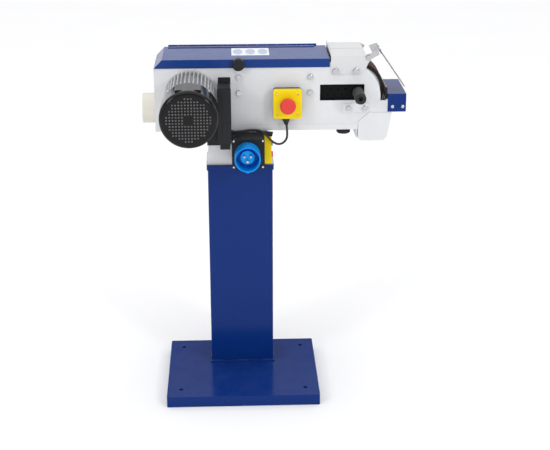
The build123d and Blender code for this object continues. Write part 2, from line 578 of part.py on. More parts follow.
def carriage_guides():
    y0, y1 = FRONT + SHEET, FRONT + SHEET + 13
    upper = block(214, 358, y0, y1, 879.8, 887)
    lower = block(214, 358, y0, y1, 808, 815.2)
    tracking_nut = block(TRACK_X - 12, TRACK_X + 12, TRACK_Y - 12, TRACK_Y + 12, HEAD_BOTTOM + SHEET, 754)
    return upper, lower, tracking_nut - rod_z(TRACK_X, TRACK_Y, 4.3, 740, 756)


def tension_spring():
    coil = Pos(137.4, SPRING_Y, WHEEL_Z) * Rot(0, 90, 0) * Helix(pitch=10.2, height=122.4, radius=7.5)
    start = Plane(origin=coil @ 0, z_dir=coil % 0)
    return sweep(start * Circle(1.2), path=coil, is_frenet=True)


def tracking_knob():
    knob = rod_z(TRACK_X, TRACK_Y, 19.5, 723, 737)
    knob = fillet(knob.edges().filter_by(GeomType.CIRCLE).sort_by(Axis.Z)[0], 5)
    knob -= [rod_z(TRACK_X + 21 * math.cos(math.radians(a)), TRACK_Y + 21 * math.sin(math.radians(a)), 3, 720, 740)
             for a in range(0, 360, 45)]
    return knob + rod_z(TRACK_X, TRACK_Y, 4.2, 736, 758)


# ---- guards ----
def spark_chute():
    y0, y1, wall = FRONT, BACK, 2.0
    outer = slab_y([(327.5, 763.5), (327.5, 716), (335, 708.5), (398, 708.5), (408, 718), (420, 789), (357.5, 789)],
                   y0, y1)
    inner = slab_y([(329.5, 717), (336, 710.5), (397.5, 710.5), (406, 718.5), (418, 790), (326, 790), (326, 760),
                    (329.5, 760)], y0 + wall, y1 - wall)
    return outer - inner - [rod_x(y, 730, 2.5, 320, 332) for y in (80, 160)]


def tool_guard():
    """Blue cap over the work rest: front, top, back and end walls."""
    y0, y1 = FRONT - 2, BACK + 2
    cap = block(BLUE_X0, BLUE_X1, y0, y1, BLUE_Z0, BLUE_Z1)
    cap = fillet(cap.edges().filter_by(Axis.X).group_by(Axis.Z)[-1], 2.5)
    cap -= block(BLUE_X0 - 1, BLUE_X1 - 2, FRONT, BACK, BLUE_Z0 - 1, BLUE_Z1 - 2)
    return cap - [drill_y(x, z, 2.5, y0, FRONT) for x, z in BLUE_BOLTS]


def work_rest():
    shelf = block(404, ARM_END, FRONT + 1, BACK - 1, ARM_TOP, ARM_TOP + SHEET)
    lip = block(404, 405.8, 52, 192, ARM_TOP, 857)
    return shelf + lip


def upper_guard():
    """Sheet cover over the nose: front, top and back, a rising edge beside the hood and a hinge lug."""
    y0, y1, wall = FRONT - 2, BACK + 2, 2.0
    face = [(GUARD_X0, GUARD_TOP), (GUARD_X0, 903), (256, 897), (330, 897), (345, 910), (351, 926),
            (360, 940), (346, GUARD_TOP)]
    lug = rod_y(PIVOT_X, PIVOT_Z, 9, y0, FRONT)
    front = slab_y(face, y0, FRONT) + lug - drill_y(PIVOT_X, PIVOT_Z, PIVOT_R, y0, FRONT)
    top = block(GUARD_X0, 347, y0, y1, GUARD_TOP - wall, GUARD_TOP)
    step = block(GUARD_X0, 345, 130, y1, GUARD_TOP, GUARD_TOP + 1.2)
    back = slab_y(face, BACK, y1)
    edge = slab_x([(y0, GUARD_TOP), (y1, GUARD_TOP + 8), (y1, GUARD_TOP - 1), (y0, GUARD_TOP - 1)],
                  GUARD_X0, GUARD_X0 + 1.5)
    return front + top + step + back + edge - [drill_y(x, z, 5.0, y0, FRONT) for x, z in GUARD_BOLTS]


def guard_bolts():
    bolts = [hex_bolt_y(x, z, FRONT - 2, 5.0, 10, 9.5) for x, z in GUARD_BOLTS]
    pivot = rod_y(PIVOT_X, PIVOT_Z, 6, FRONT - 9, FRONT - 6) + rod_y(PIVOT_X, PIVOT_Z, PIVOT_R, FRONT - 7, FRONT + 6)
    return bolts + [pivot + hex_prism((PIVOT_X, FRONT, PIVOT_Z), Y_DIR, 10, 5)]


def adjuster_plate():
    y0 = FRONT - 3
    plate = soften(block(282.6, 357, y0, FRONT, ARM_BOTTOM, 815.7), Axis.Y, 1.5)
    return plate - [drill_y(x, z, 4.0, y0, FRONT) for x, z in ADJUSTER_BOLTS]


SHIELD_LEAN = Vector(SHIELD_FOOT[0] - SHIELD_TOP[0], 0, SHIELD_FOOT[1] - SHIELD_TOP[1]).normalized()
SHIELD_OUT = Vector(-SHIELD_LEAN.Z, 0, SHIELD_LEAN.X)
LIP_TOP = Vector(380.1, 0, 963.6)
LIP_T, SHIELD_T, SHIELD_LENGTH = 1.8, 3.0, 126.0


def shield_bracket():
    """Arm on the pivot bolt, with a flange over the belt and a lip that carries the shield."""
    y0, y1 = FRONT - 5.3, FRONT - 2.3
    arm = rod_y(PIVOT_X, PIVOT_Z, 9, y0, y1)
    arm += slab_y([(PIVOT_X - 3, 952.5), (PIVOT_X + 4, 936.5), (372, 947), (381, 951), (378.5, 963), (362, 957)],
                  y0, y1)
    flange = slab_y([(362, 957), (380.1, 963.6), (380.9, 961.4), (362.7, 954.9)], y0, SHIELD_Y1)
    lip = leaning_plate(LIP_TOP, -SHIELD_OUT * LIP_T, 12, y0)
    bracket = arm + flange + lip - drill_y(PIVOT_X, PIVOT_Z, PIVOT_R + RUN_FIT, y0, y1)
    return bracket - shield_screw_holes()


def leaning_plate(top, thickness, length, y0):
    """A plate along the shield's slope, from a top corner, with a thickness vector."""
    foot = top + SHIELD_LEAN * length
    corners = [(p.X, p.Z) for p in (top, foot, foot + thickness, top + thickness)]
    return slab_y(corners, y0, SHIELD_Y1)


def shield():
    plate = leaning_plate(LIP_TOP + SHIELD_LEAN, SHIELD_OUT * SHIELD_T, SHIELD_LENGTH, SHIELD_Y0)
    return plate - shield_screw_holes()


def shield_screw_points():
    seat = LIP_TOP + SHIELD_LEAN * 7 + SHIELD_OUT * SHIELD_T
    return [Vector(seat.X, y, seat.Z) for y in (58, 107)]


def shield_screw_holes():
    return [rod(tuple(p + SHIELD_OUT), tuple(-SHIELD_OUT), 2.0, 9) for p in shield_screw_points()]


def shield_screws():
    return [dome_screw(tuple(p), tuple(SHIELD_OUT), 4.0, 2.0, 6) for p in shield_screw_points()]


# ---- hood ----
def hood():
    y0, y1 = FRONT - 2, BACK - 0.5
    roof = slab_y([(HOOD_LEFT, HOOD_LOW), (HOOD_CHAMFER_X, HOOD_TOP), (HOOD_END, HOOD_TOP),
                   (HOOD_END, HOOD_TOP - THIN), (HOOD_CHAMFER_X + 0.7, HOOD_TOP - THIN), (HOOD_LEFT + 2.1, HOOD_LOW)],
                  y0, y1)
    skirt = slab_y([(HOOD_LEFT, HOOD_LOW), (HOOD_CHAMFER_X, HOOD_TOP), (HOOD_END, HOOD_TOP), (HOOD_END, HOOD_LOW)],
                   y0, y0 + THIN)
    return roof + skirt - drill_y(KNOB_X, KNOB_Z, 4.0 + RUN_FIT, y0, y0 + THIN)


def knuckles(offset):
    """Every other barrel of the hood's hinge."""
    return [rod_x(HINGE_Y, HINGE_Z, HINGE_R, x, x + 27.4) for x in range(-198 + offset, 200, 56)]


def hinge_fixed():
    leaf = block(-198, 214, BACK, BACK + THIN, 905, 935)
    web = slab_x([(BACK, 934), (BACK + THIN, 934), (HINGE_Y - 1, HINGE_Z - 3), (HINGE_Y - 3, HINGE_Z - 2)], -198, 214)
    cut = [block(x - 0.3, x + 27.7, BACK + 1.6, 220, 925, 950) for x in range(-170, 214, 56)]
    barrels = [b - rod_x(HINGE_Y, HINGE_Z, HINGE_PIN_R, -210, 230) for b in knuckles(0)]
    pin = rod_x(HINGE_Y, HINGE_Z, HINGE_PIN_R, -199, 215)
    solid = leaf + web
    for piece in cut:
        solid -= piece
    for barrel in barrels:
        solid += barrel
    return solid + pin


def hinge_moving():
    leaf = block(-198, 214, 186, HINGE_Y - 1, HOOD_TOP, HOOD_TOP + THIN)
    solid = leaf
    for x in range(-198, 200, 56):
        solid -= block(x - 0.3, x + 27.7, HINGE_Y - HINGE_R - 0.4, 220, 930, 950)
    for barrel in knuckles(28):
        solid += barrel
    return solid - rod_x(HINGE_Y, HINGE_Z, HINGE_PIN_R + RUN_FIT, -210, 230)


def hood_label():
    return soften(block(-20, 84, 84, 174, HOOD_TOP, HOOD_TOP + 0.4), Axis.Z, 2)


def hood_knob():
    """Round clamping knob with its stud and the nut that grips behind the front plate."""
    y0 = FRONT - 2
    knob = rod_y(KNOB_X, KNOB_Z, KNOB_R, y0 - 20, y0 - 3)
    knob = fillet(knob.edges().filter_by(GeomType.CIRCLE).sort_by(Axis.Y)[0], 4)
    neck_part = rod_y(KNOB_X, KNOB_Z, 9, y0 - 4, y0 - 0.2)
    stud = rod_y(KNOB_X, KNOB_Z, 4.0, y0 - 1, 46)
    return knob + neck_part + stud + hex_prism((KNOB_X, 41.2, KNOB_Z), Y_DIR, 13, 5)


def hex_bolts():
    bolts = [hex_bolt_y(x, z, FRONT, 4.0, 8.8, 8.0) for x, z in PLATEN_BOLTS]
    bolts += [hex_bolt_y(x, z, FRONT - 3, 4.0, 11, 8.0) for x, z in ADJUSTER_BOLTS]
    bolts += [hex_bolt_down(x, y, FLANGE_TOP + SHEET, 5.0, 15) for x, y in NECK_BOLTS]
    bolts += [hex_bolt_down(x, y, HEAD_BOTTOM + SHEET, 4.2, 6) for x, y in HEAD_BOLTS]
    for x, z in MOTOR_BOLTS:
        head = hex_prism((x, FRONT + SHEET, z), Y_DIR, 13, 5)
        bolts.append(head + rod_y(x, z, 4.0, FRAME_Y1 + 4, FRONT + SHEET + 1))
    return bolts + guard_bolts()


# ---- assembly ----
def save(name, shape):
    pieces = list(shape) if isinstance(shape, (list, tuple)) else [shape]
    solids = [solid for piece in pieces for solid in piece.solids()]
    export_step(solids[0] if len(solids) == 1 else Compound(children=solids), f"parts/{name}.step")


def main():
    os.makedirs("parts", exist_ok=True)
    makers = [
        base_tray, column, column_flange, neck, front_plate, back_plate, body_wrapper, dust_port,
        platen_bracket, platen, graphite_pad, end_shields, motor_frame, stator, motor_bearings, fan_cowl,
        motor_rotor, motor_fan, drive_wheel, capacitor_box, capacitors, terminal_box,
        switch_box, inlet_collar, inlet_core, inlet_pins, switch_cover, estop_base, estop_lid, estop_stem,
        estop_mushroom, small_screws, cable_glands, belt, contact_wheel, contact_tyre, wheel_bearings,
        carriage, tension_grip, carriage_guides, tension_spring, tracking_knob, spark_chute, tool_guard,
        work_rest, upper_guard, adjuster_plate, shield_bracket, shield, shield_screws,
        hood, hinge_fixed, hinge_moving, hood_label, hood_knob, hex_bolts,
    ]
    for maker in makers:
        save(maker.__name__, maker())
    save("start_button", push_button(START_Z, 3.4))
    save("stop_button", push_button(STOP_Z, 4.2))
    save("estop_cable", cable(STOP_CABLE, STOP_CABLE_D, "estop_cable"))
    save("motor_cable", cable(MOTOR_CABLE, MOTOR_CABLE_D, "motor_cable"))


main()
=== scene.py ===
import json
import math

import bmesh
import bpy
from mathutils import Matrix, Vector


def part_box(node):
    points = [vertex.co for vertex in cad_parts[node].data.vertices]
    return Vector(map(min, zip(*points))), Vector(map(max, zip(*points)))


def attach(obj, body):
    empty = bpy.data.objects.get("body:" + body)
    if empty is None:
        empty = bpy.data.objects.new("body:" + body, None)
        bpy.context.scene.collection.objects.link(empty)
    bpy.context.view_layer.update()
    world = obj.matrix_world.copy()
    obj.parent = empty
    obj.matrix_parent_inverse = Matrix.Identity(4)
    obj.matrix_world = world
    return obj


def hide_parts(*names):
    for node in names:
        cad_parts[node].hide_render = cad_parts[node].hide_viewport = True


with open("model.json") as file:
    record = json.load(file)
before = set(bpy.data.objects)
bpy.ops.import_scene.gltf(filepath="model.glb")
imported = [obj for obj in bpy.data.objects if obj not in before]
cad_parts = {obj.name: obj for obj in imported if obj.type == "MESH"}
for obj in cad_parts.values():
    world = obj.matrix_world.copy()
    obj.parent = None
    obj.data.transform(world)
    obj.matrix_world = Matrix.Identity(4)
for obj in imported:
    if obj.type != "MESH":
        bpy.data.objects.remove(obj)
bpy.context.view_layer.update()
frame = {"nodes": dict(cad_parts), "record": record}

scene = bpy.context.scene
nodes = frame["nodes"]
scene.view_settings.view_transform = "Standard"


# ---- camera ----
# Solved from the rectangular base, column and head of the photo.
CAMERA_PLACE = (-0.02596, -3.2212, 1.6872)
CAMERA_TILT, CAMERA_YAW, CAMERA_ROLL = 20.617, 2.161, -0.096
CAMERA_LENS, SENSOR_WIDTH, CLIP_END = 80.02, 36.0, 60.0


def add_camera():
    tilt, yaw, roll = (math.radians(angle) for angle in (CAMERA_TILT, CAMERA_YAW, CAMERA_ROLL))
    forward = Vector((math.sin(yaw) * math.cos(tilt), math.cos(yaw) * math.cos(tilt), -math.sin(tilt)))
    camera = bpy.data.objects.new("camera", bpy.data.cameras.new("camera"))
    scene.collection.objects.link(camera)
    camera.data.lens = CAMERA_LENS
    camera.data.sensor_width = SENSOR_WIDTH
    camera.data.clip_end = CLIP_END
    turn = forward.to_track_quat("-Z", "Y").to_matrix() @ Matrix.Rotation(roll, 3, "Z")
    camera.matrix_world = Matrix.Translation(CAMERA_PLACE) @ turn.to_4x4()
    scene.camera = camera


add_camera()


# ---- cords ----
STOP_ROUTE = [
    (0.1285, 0.0160, 0.7620), (0.1305, 0.0155, 0.7430), (0.1295, 0.0130, 0.7210), (0.1120, 0.0085, 0.7075),
    (0.0915, 0.0045, 0.7145), (0.0760, 0.0025, 0.7335), (0.0590, 0.0020, 0.7505), (0.0360, 0.0020, 0.7535),
    (0.0120, 0.0020, 0.7515), (-0.0115, 0.0020, 0.7375),
]
STOP_LENGTH, STOP_DIAMETER = 0.2045, 0.006
MOTOR_ROUTE = [
    (-0.0160, 0.0210, 0.7420), (0.0040, 0.0215, 0.7430), (0.0270, 0.0230, 0.7460),
    (0.0500, 0.0245, 0.7450), (0.0680, 0.0250, 0.7386),
]
MOTOR_LENGTH, MOTOR_DIAMETER = 0.0853, 0.007


def cord(name, route, diameter, node):
    """Round cord along a route, in place of the CAD's own tube."""
    curve = bpy.data.curves.new(name, "CURVE")
    curve.dimensions = "3D"
    curve.resolution_u = 16
    curve.bevel_depth = 1.0
    curve.bevel_resolution = 6
    curve.use_fill_caps = True
    spline = curve.splines.new("NURBS")
    spline.points.add(len(route) - 1)
    for point, place in zip(spline.points, route):
        point.co = (*place, 1.0)
        point.radius = diameter / 2
    spline.order_u = 3
    spline.use_endpoint_u = True
    piece = bpy.data.objects.new(name, curve)
    scene.collection.objects.link(piece)
    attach(piece, "machine")
    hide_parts(node)
    return piece


stop_cord = cord("stop_cord", STOP_ROUTE, STOP_DIAMETER, "estop_cable")
motor_cord = cord("motor_cord", MOTOR_ROUTE, MOTOR_DIAMETER, "motor_cable")


# ---- materials ----
class Finish:
    """A node tree round one Principled shader, with the few building blocks that the finishes share."""

    def __init__(self, name, **sockets):
        self.material = bpy.data.materials.new(name)
        self.material.use_nodes = True
        self.tree = self.material.node_tree
        self.tree.nodes.clear()
        self.shader = self.node("ShaderNodeBsdfPrincipled", **sockets)
        output = self.tree.nodes.new("ShaderNodeOutputMaterial")
        self.link(self.shader.outputs["BSDF"], output.inputs["Surface"])
        self.place = self.node("ShaderNodeTexCoord").outputs["Object"]

    def node(self, kind, **sockets):
        made = self.tree.nodes.new(kind)
        for key, value in sockets.items():
            self.put(made.inputs[key.replace("_", " ")], value)
        return made

    def put(self, socket, value):
        if isinstance(value, bpy.types.NodeSocket):
            self.link(value, socket)
        else:
            socket.default_value = value

    def link(self, source, target):
        self.tree.links.new(source, target)

    def set(self, **sockets):
        for key, value in sockets.items():
            self.put(self.shader.inputs[key.replace("_", " ")], value)

    def noise(self, scale, detail=4.0, roughness=0.55, vector=None):
        made = self.node("ShaderNodeTexNoise", Vector=vector or self.place, Scale=scale, Detail=detail,
                         Roughness=roughness)
        return made.outputs["Fac"]

    def cells(self, scale):
        made = self.node("ShaderNodeTexVoronoi", Vector=self.place, Scale=scale)
        return made.outputs["Distance"]

    def stretched(self, x, y, z):
        made = self.node("ShaderNodeMapping", Vector=self.place, Scale=(x, y, z))
        return made.outputs["Vector"]

    def ramp(self, value, low, high, to_low, to_high):
        made = self.tree.nodes.new("ShaderNodeMapRange")
        made.clamp = True
        for key, given in zip(("Value", "From Min", "From Max", "To Min", "To Max"),
                              (value, low, high, to_low, to_high)):
            self.put(made.inputs[key], given)
        return made.outputs["Result"]

    def math(self, operation, a, b=0.0):
        made = self.tree.nodes.new("ShaderNodeMath")
        made.operation = operation
        self.put(made.inputs[0], a)
        self.put(made.inputs[1], b)
        return made.outputs[0]

    def mix(self, share, a, b):
        made = self.tree.nodes.new("ShaderNodeMix")
        made.data_type = "RGBA"
        self.put(made.inputs["Factor"], share)
        for key, value in (("A", a), ("B", b)):
            socket = next(s for s in made.inputs if s.name == key and s.type == "RGBA")
            self.put(socket, value if isinstance(value, bpy.types.NodeSocket) else (*value, 1.0))
        return next(s for s in made.outputs if s.type == "RGBA")

    def rounded(self, radius):
        made = self.node("ShaderNodeBevel", Radius=radius)
        made.samples = 4
        return made.outputs["Normal"]

    def edges(self, normal):
        """0 on flat faces, rising towards 1 on sharp edges, from how far the rounded normal leans."""
        face = self.node("ShaderNodeNewGeometry").outputs["Normal"]
        dot = self.tree.nodes.new("ShaderNodeVectorMath")
        dot.operation = "DOT_PRODUCT"
        self.link(normal, dot.inputs[0])
        self.link(face, dot.inputs[1])
        return self.ramp(dot.outputs["Value"], 0.995, 0.80, 0.0, 1.0)

    def between(self, low, high):
        """1 where the surface's x lies in a range, else 0."""
        split = self.node("ShaderNodeSeparateXYZ", Vector=self.node("ShaderNodeNewGeometry").outputs["Position"])
        above = self.math("GREATER_THAN", split.outputs["X"], low)
        return self.math("MULTIPLY", above, self.math("LESS_THAN", split.outputs["X"], high))

    def end_grain(self):
        """1 on faces that look along y, else 0."""
        split = self.node("ShaderNodeSeparateXYZ", Vector=self.node("ShaderNodeNewGeometry").outputs["Normal"])
        return self.math("GREATER_THAN", self.math("ABSOLUTE", split.outputs["Y"]), 0.9)

    def upward(self):
        """1 on faces that look up, falling to 0 on steep ones."""
        face = self.node("ShaderNodeNewGeometry").outputs["Normal"]
        split = self.node("ShaderNodeSeparateXYZ", Vector=face)
        return self.ramp(split.outputs["Z"], 0.3, 1.0, 0.0, 1.0)

    def bump(self, height, distance, strength=1.0, normal=None):
        made = self.node("ShaderNodeBump", Height=height, Distance=distance, Strength=strength)
        if normal is not None:
            self.link(normal, made.inputs["Normal"])
        return made.outputs["Normal"]


def shade(colour, factor):
    return tuple(min(1.0, c * factor) for c in colour)


def coated(name, colour, rough, level=0.5, coat=0.0, peel=420.0, depth=0.00004, edge=0.0011, worn=None,
           wear=0.35, mottle=0.06, dust=0.0, metal=0.0, wave=0.0, ior=1.5):
    """Paint, powder coat or moulded plastic: mottled colour, uneven gloss, fine relief and worn, rounded edges."""
    f = Finish(name, Metallic=metal, Specular_IOR_Level=level, IOR=ior, Coat_Weight=coat, Coat_Roughness=0.08)
    normal = f.rounded(edge)
    broad = f.noise(7.0, 5.0, 0.6)
    fine = f.noise(95.0, 6.0, 0.65)
    tone = f.mix(broad, shade(colour, 1 - mottle), shade(colour, 1 + mottle))
    tone = f.mix(f.ramp(fine, 0.35, 0.75, 0.0, 0.22), tone, shade(colour, 0.86))
    if dust:
        settled = f.math("MULTIPLY", f.upward(), f.ramp(f.noise(24.0, 8.0, 0.7), 0.35, 0.8, 0.0, dust))
        tone = f.mix(settled, tone, (0.62, 0.62, 0.60))
    scuffed = f.math("MULTIPLY", f.edges(normal), f.ramp(f.noise(60.0, 6.0, 0.7), 0.42, 0.68, 0.0, wear))
    tone = f.mix(scuffed, tone, worn or shade(colour, 1.6))
    gloss = f.ramp(f.noise(30.0, 5.0, 0.6), 0.3, 0.75, rough * 0.85, rough * 1.2)
    gloss = f.math("ADD", gloss, f.math("MULTIPLY", scuffed, 0.25))
    relief = f.bump(f.noise(peel, 3.0, 0.5), depth, 0.6, normal)
    if wave:
        relief = f.bump(f.noise(9.0, 2.0, 0.5), wave, 0.5, relief)
    f.set(Base_Color=tone, Roughness=gloss, Normal=relief)
    return f.material


def bare_metal(name, colour, rough, lines, depth=0.00002, edge=0.0008, mottle=0.08, stain=(0.20, 0.17, 0.14),
               cast=False, yellow_span=None):
    """Steel, zinc plate or aluminium with a machined grain or, if cast, a pebbled skin, and slight staining."""
    f = Finish(name, Metallic=1.0)
    normal = f.rounded(edge)
    tone = f.mix(f.noise(40.0, 6.0, 0.6), shade(colour, 1 - mottle), shade(colour, 1 + mottle))
    tone = f.mix(f.ramp(f.noise(18.0, 8.0, 0.75), 0.58, 0.85, 0.0, 0.35), tone, stain)
    tone = f.mix(f.math("MULTIPLY", f.edges(normal), 0.4), tone, shade(colour, 1.25))
    # Screws whose x lies within the stop-box lid's span are tinted yellow.
    if yellow_span:
        tone = f.mix(f.between(*yellow_span), tone, (0.72, 0.58, 0.22))
    grain = f.cells(420.0) if cast else f.noise(1.0, 3.0, 0.7, vector=f.stretched(*lines))
    gloss = f.ramp(grain, 0.2, 0.8, rough * 0.8, rough * 1.3)
    f.set(Base_Color=tone, Roughness=gloss, Normal=f.bump(grain, depth, 0.5, normal))
    return f.material


def moulded_rubber(name, colour, rough, ribs=0.0):
    """Dull rubber with a dusty bloom and, if ribs is given, a cellular grip pattern."""
    f = Finish(name, Specular_IOR_Level=0.35, Sheen_Weight=0.08, Sheen_Roughness=0.5)
    normal = f.rounded(0.0008)
    bloom = f.ramp(f.noise(28.0, 8.0, 0.7), 0.4, 0.8, 0.0, 0.35)
    tone = f.mix(bloom, colour, shade(colour, 2.1))
    tone = f.mix(f.math("MULTIPLY", f.edges(normal), 0.35), tone, shade(colour, 2.6))
    relief = f.bump(f.noise(700.0, 4.0, 0.6), 0.00005, 0.7, normal)
    if ribs:
        relief = f.bump(f.cells(ribs), 0.0002, 0.5, relief)
    gloss = f.ramp(f.noise(55.0, 5.0, 0.6), 0.3, 0.7, rough * 0.85, min(1.0, rough * 1.15))
    f.set(Base_Color=tone, Roughness=gloss, Normal=relief)
    return f.material


def abrasive_cloth(name):
    """Coated abrasive: packed dark grit in a red-brown resin, with a few brighter crystals."""
    f = Finish(name, Specular_IOR_Level=0.4)
    grit = f.cells(1100.0)
    tone = f.mix(f.ramp(f.noise(520.0, 4.0, 0.7), 0.3, 0.7, 0.0, 1.0), (0.045, 0.012, 0.010), (0.17, 0.055, 0.042))
    tone = f.mix(f.ramp(grit, 0.05, 0.0, 0.0, 0.5), tone, (0.42, 0.30, 0.27))
    loaded = f.ramp(f.noise(1.0, 6.0, 0.7, vector=f.stretched(6.0, 90.0, 6.0)), 0.5, 0.8, 0.0, 0.5)
    tone = f.mix(loaded, tone, (0.055, 0.045, 0.042))
    f.set(Base_Color=tone, Roughness=f.ramp(grit, 0.0, 0.6, 0.55, 0.95), Normal=f.bump(grit, 0.0003, 0.8))
    return f.material


def clear_sheet(name):
    """Clear sheet, lightly scratched and hazed, with cut edges that look dark."""
    f = Finish(name, IOR=1.49)
    cut = f.end_grain()
    f.set(Base_Color=f.mix(cut, (0.93, 0.95, 0.95), (0.22, 0.20, 0.17)),
          Transmission_Weight=f.ramp(cut, 0, 1, 0.92, 0.15))
    scratches = f.noise(1.0, 6.0, 0.8, vector=f.stretched(30.0, 400.0, 60.0))
    haze = f.noise(22.0, 5.0, 0.6)
    f.set(Roughness=f.math("ADD", f.ramp(haze, 0.4, 0.8, 0.02, 0.09), f.ramp(scratches, 0.62, 0.75, 0.0, 0.08)),
          Normal=f.bump(scratches, 0.00001, 0.3, f.rounded(0.0006)))
    return f.material


def printed_film(name, colour):
    """Printed plastic film, slightly soiled, under a thin gloss layer."""
    f = Finish(name, Specular_IOR_Level=0.5, Coat_Weight=0.2, Coat_Roughness=0.2)
    tone = f.mix(f.noise(60.0, 6.0, 0.6), shade(colour, 0.96), shade(colour, 1.03))
    tone = f.mix(f.ramp(f.noise(14.0, 7.0, 0.7), 0.55, 0.85, 0.0, 0.15), tone, (0.55, 0.53, 0.48))
    f.set(Base_Color=tone, Roughness=f.ramp(f.noise(120.0), 0.3, 0.7, 0.30, 0.42),
          Normal=f.bump(f.noise(260.0, 3.0), 0.00002, 0.5))
    return f.material


def jacket(name):
    """PVC cable jacket with a fine relief and a little dust."""
    f = Finish(name, Specular_IOR_Level=0.45)
    tone = f.mix(f.ramp(f.noise(50.0, 7.0, 0.7), 0.4, 0.8, 0.0, 0.5), (0.012, 0.012, 0.013), (0.045, 0.044, 0.043))
    f.set(Base_Color=tone, Roughness=f.ramp(f.noise(80.0), 0.3, 0.7, 0.32, 0.5),
          Normal=f.bump(f.noise(500.0, 3.0), 0.00003, 0.5))
    return f.material


BLUE = (0.003, 0.027, 0.172)
GREY = (0.70, 0.71, 0.73)
finishes = {
    "blue_paint": coated("blue_paint", BLUE, 0.17, ior=1.25, peel=330.0, depth=0.00005, worn=(0.09, 0.15, 0.42),
                         wear=0.55, dust=0.02, wave=0.0004),
    "grey_paint": coated("grey_paint", GREY, 0.42, level=0.4, peel=520.0, worn=(0.50, 0.50, 0.49), wear=0.4,
                         mottle=0.025, wave=0.0003),
    "cream_plastic": coated("cream_plastic", (0.76, 0.73, 0.64), 0.5, level=0.4, peel=260.0, depth=0.00008,
                            mottle=0.03, worn=(0.62, 0.58, 0.48)),
    "cream_paint": coated("cream_paint", (0.66, 0.665, 0.67), 0.36, level=0.45, peel=520.0, mottle=0.025,
                          worn=(0.50, 0.49, 0.46)),
    "black_paint": coated("black_paint", (0.006, 0.006, 0.007), 0.14, ior=1.3, peel=240.0, depth=0.00006,
                          worn=(0.08, 0.08, 0.08), mottle=0.15, dust=0.02),
    "finned_housing": coated("finned_housing", (0.48, 0.48, 0.485), 0.22, ior=1.7, peel=300.0, depth=0.00012,
                             worn=(0.62, 0.62, 0.61), wear=0.6, mottle=0.2, dust=0.16),
    "black_plastic": coated("black_plastic", (0.013, 0.014, 0.017), 0.42, ior=1.33, peel=800.0, depth=0.00010,
                            worn=(0.07, 0.07, 0.07), mottle=0.12, dust=0.04),
    "yellow_plastic": coated("yellow_plastic", (0.88, 0.66, 0.0), 0.34, ior=1.3, peel=600.0, mottle=0.025,
                             worn=(0.75, 0.56, 0.08), wear=0.25),
    "red_plastic": coated("red_plastic", (0.70, 0.045, 0.04), 0.32, ior=1.4, peel=600.0, mottle=0.05,
                          worn=(0.75, 0.16, 0.15), wear=0.3),
    "green_plastic": coated("green_plastic", (0.02, 0.26, 0.07), 0.32, level=0.45, peel=600.0, mottle=0.05),
    "inlet_blue": coated("inlet_blue", (0.0, 0.26, 0.76), 0.28, ior=1.25, peel=420.0, mottle=0.06,
                         worn=(0.10, 0.30, 0.80), wear=0.3),
    "inlet_light_blue": coated("inlet_light_blue", (0.0, 0.40, 1.0), 0.30, ior=1.3, peel=420.0, mottle=0.05),
    "graphite": coated("graphite", (0.035, 0.035, 0.036), 0.48, level=0.6, peel=900.0, depth=0.00012, mottle=0.2),
    "capacitor_can": coated("capacitor_can", (0.10, 0.10, 0.10), 0.35, peel=500.0, metal=0.4),
    "stator_steel": bare_metal("stator_steel", (0.30, 0.29, 0.28), 0.5, (8.0, 2200.0, 8.0), 0.00010),
    "machined_steel": bare_metal("machined_steel", (0.52, 0.52, 0.52), 0.30, (30.0, 900.0, 30.0)),
    "zinc_bolt": bare_metal("zinc_bolt", (0.55, 0.56, 0.58), 0.24, (260.0, 40.0, 700.0), 0.00003, mottle=0.14,
                            stain=(0.36, 0.33, 0.27)),
    "brass_pin": bare_metal("brass_pin", (0.50, 0.50, 0.47), 0.24, (900.0, 60.0, 900.0), stain=(0.45, 0.36, 0.18)),
    "cast_aluminium": bare_metal("cast_aluminium", (0.62, 0.62, 0.62), 0.42, (1.0, 1.0, 1.0), 0.00020, cast=True),
    "black_rubber": moulded_rubber("black_rubber", (0.014, 0.014, 0.015), 0.62, ribs=160.0),
    "abrasive": abrasive_cloth("abrasive"),
    "clear_shield": clear_sheet("clear_shield"),
    "label_film": printed_film("label_film", (0.82, 0.84, 0.88)),
    "cable_jacket": jacket("cable_jacket"),
}
SLOT_OF = {part["node"]: part["material_slot"] for part in frame["record"]["subparts"]}


def dress(piece, material):
    piece.data.materials.clear()
    piece.data.materials.append(material)


OWN_FINISH = {
    # shaded_black is a darker copy of the black finishes: painted shade for the carriage plate set back behind the
    # slot.
    "carriage": coated("shaded_black", (0.004, 0.004, 0.005), 0.5, ior=1.2, peel=300.0, worn=(0.04, 0.04, 0.04)),
    "end_shields": finishes["finned_housing"],
    "hood": coated("hood_blue", (0.010, 0.044, 0.215), 0.17, ior=1.25, peel=330.0, depth=0.00005,
                   worn=(0.09, 0.15, 0.42), wear=0.55, dust=0.03, wave=0.0004),
    "small_screws": bare_metal("screw_plating", (0.62, 0.63, 0.65), 0.22, (260.0, 40.0, 700.0), 0.00003,
                               mottle=0.12, yellow_span=tuple(corner.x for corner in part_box("estop_lid"))),
}
for name, piece in nodes.items():
    dress(piece, OWN_FINISH.get(name) or finishes[SLOT_OF[name]])
for piece in (stop_cord, motor_cord):
    dress(piece, finishes["cable_jacket"])


# ---- added pieces ----
def add_piece(name, mesh_maker, body, slot, smooth=True):
    mesh = bpy.data.meshes.new(name)
    bm = bmesh.new()
    mesh_maker(bm)
    bmesh.ops.recalc_face_normals(bm, faces=bm.faces)
    for face in bm.faces:
        face.smooth = smooth
    bm.to_mesh(mesh)
    bm.free()
    piece = bpy.data.objects.new(name, mesh)
    scene.collection.objects.link(piece)
    dress(piece, finishes[slot])
    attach(piece, body)
    return piece


